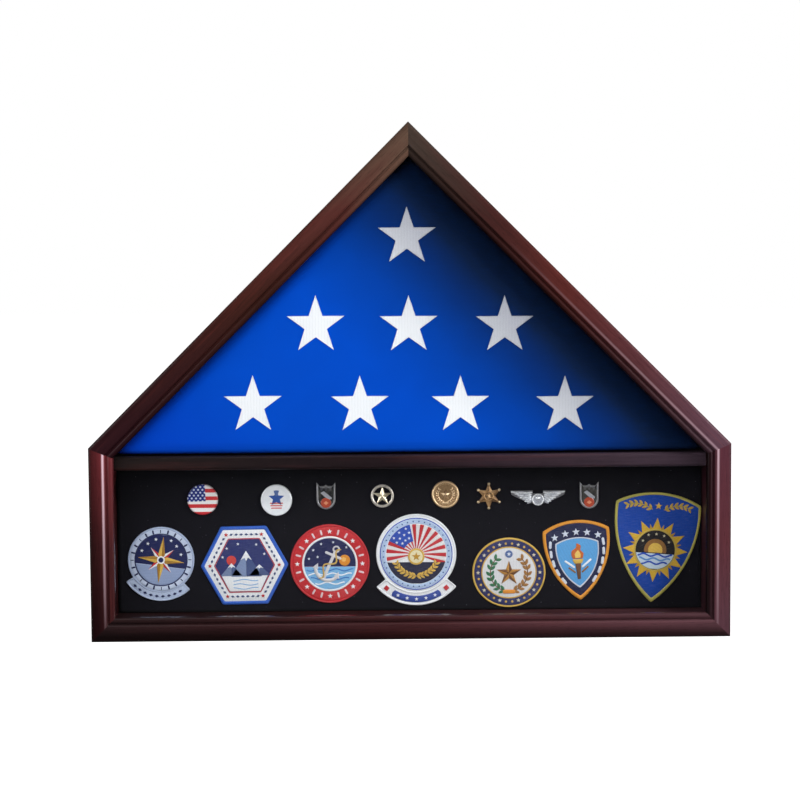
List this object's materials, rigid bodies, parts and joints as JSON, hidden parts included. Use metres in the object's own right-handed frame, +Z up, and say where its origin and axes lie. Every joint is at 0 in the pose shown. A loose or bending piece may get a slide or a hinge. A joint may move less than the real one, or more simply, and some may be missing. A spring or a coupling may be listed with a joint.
{
  "type": "flag and certificate case",
  "caption": "House-shaped wooden wall case with a glass front: a folded flag under the gable, and a black felt shadow box with patches and pins below.",
  "frame": {"origin": "on the underside of the bottom board, at the middle of the bounding box", "axes": "+X to the viewer's right, +Y from the glass front to the back, +Z up"},
  "size_m": [0.711, 0.093, 0.5715],
  "materials": {
    "cherry_wood": "gloss lacquer, dark cherry",
    "pine": "bare sawn wood",
    "hardboard": "smooth brown hardboard",
    "clear_glass": "clear",
    "flag_cloth": "woven cotton, sewn stars",
    "black_felt": "matt felt",
    "foam_board": "matt foam",
    "embroidery": "satin stitch, merrowed edge",
    "enamel": "glossy",
    "pewter": "antiqued",
    "silver_metal": "antiqued",
    "gold_metal": "satin",
    "brass": "satin",
    "zinc_steel": "zinc plated",
    "bumper_rubber": "matt"
  },
  "bodies": {
    "case": {"apex_block": "pine", "bead_bottom": "cherry_wood", "bead_roof_left": "cherry_wood", "bead_roof_right": "cherry_wood", "bead_side_left": "cherry_wood", "bead_side_right": "cherry_wood", "bottom_board": "cherry_wood", "bumper_left": "bumper_rubber", "bumper_right": "bumper_rubber", "button_screws": "brass", "corner_splines": "pine", "divider_shelf": "cherry_wood", "folded_flag": "flag_cloth", "glass_pane": "clear_glass", "glass_stop_bottom": "cherry_wood", "glass_stop_roof_left": "cherry_wood", "glass_stop_roof_right": "cherry_wood", "glass_stop_side_left": "cherry_wood", "glass_stop_side_right": "cherry_wood", "hanger_plate": "zinc_steel", "hanger_screws": "zinc_steel", "roof_board_left": "cherry_wood", "roof_board_right": "cherry_wood", "side_board_left": "cherry_wood", "side_board_right": "cherry_wood"},
    "flag_back": {"flag_back": "hardboard"},
    "display_back": {"display_back": "hardboard", "pin_board": "foam_board", "felt_cover": "black_felt", "anchor_patch": "embroidery", "compass_patch": "embroidery", "crest_pin_left": "pewter", "crest_pin_right": "pewter", "flag_pin": "enamel", "medal_pin": "gold_metal", "mountain_patch": "embroidery", "ring_star_pin": "silver_metal", "six_point_pin": "gold_metal", "star_button_pin": "enamel", "sun_patch": "embroidery", "sunburst_patch": "embroidery", "torch_patch": "embroidery", "wings_pin": "silver_metal", "wreath_patch": "embroidery"},
    "turn_button_bottom_left": {"turn_button_bottom_left": "zinc_steel"},
    "turn_button_bottom_right": {"turn_button_bottom_right": "zinc_steel"},
    "turn_button_divider_left": {"turn_button_divider_left": "zinc_steel"},
    "turn_button_divider_right": {"turn_button_divider_right": "zinc_steel"},
    "turn_button_roof_left_high": {"turn_button_roof_left_high": "zinc_steel"},
    "turn_button_roof_left_low": {"turn_button_roof_left_low": "zinc_steel"},
    "turn_button_roof_right_high": {"turn_button_roof_right_high": "zinc_steel"},
    "turn_button_roof_right_low": {"turn_button_roof_right_low": "zinc_steel"}
  },
  "joints": [
    {"name": "flag_back_slide", "type": "slide", "parent": "case", "child": "flag_back", "axis": [0, 1, 0], "range_m": [0, 0.1]},
    {"name": "display_back_slide", "type": "slide", "parent": "case", "child": "display_back", "axis": [0, 1, 0], "range_m": [0, 0.1]},
    {"name": "turn_bottom_left", "type": "hinge", "parent": "case", "child": "turn_button_bottom_left", "pos_m": [-0.2355, 0.0425, 0.0055], "axis": [0, 1, 0], "range_deg": [0, 90]},
    {"name": "turn_bottom_right", "type": "hinge", "parent": "case", "child": "turn_button_bottom_right", "pos_m": [0.2355, 0.0425, 0.0055], "axis": [0, 1, 0], "range_deg": [0, 90]},
    {"name": "turn_divider_left", "type": "hinge", "parent": "case", "child": "turn_button_divider_left", "pos_m": [-0.2355, 0.0425, 0.19673], "axis": [0, 1, 0], "range_deg": [0, 90]},
    {"name": "turn_divider_right", "type": "hinge", "parent": "case", "child": "turn_button_divider_right", "pos_m": [0.2355, 0.0425, 0.19673], "axis": [0, 1, 0], "range_deg": [0, 90]},
    {"name": "turn_roof_left_high", "type": "hinge", "parent": "case", "child": "turn_button_roof_left_high", "pos_m": [-0.08096, 0.0425, 0.48276], "axis": [0, 1, 0], "range_deg": [0, 90]},
    {"name": "turn_roof_left_low", "type": "hinge", "parent": "case", "child": "turn_button_roof_left_low", "pos_m": [-0.26676, 0.0425, 0.29696], "axis": [0, 1, 0], "range_deg": [0, 90]},
    {"name": "turn_roof_right_high", "type": "hinge", "parent": "case", "child": "turn_button_roof_right_high", "pos_m": [0.08096, 0.0425, 0.48276], "axis": [0, 1, 0], "range_deg": [0, 90]},
    {"name": "turn_roof_right_low", "type": "hinge", "parent": "case", "child": "turn_button_roof_right_low", "pos_m": [0.26676, 0.0425, 0.29696], "axis": [0, 1, 0], "range_deg": [0, 90]}
  ]
}
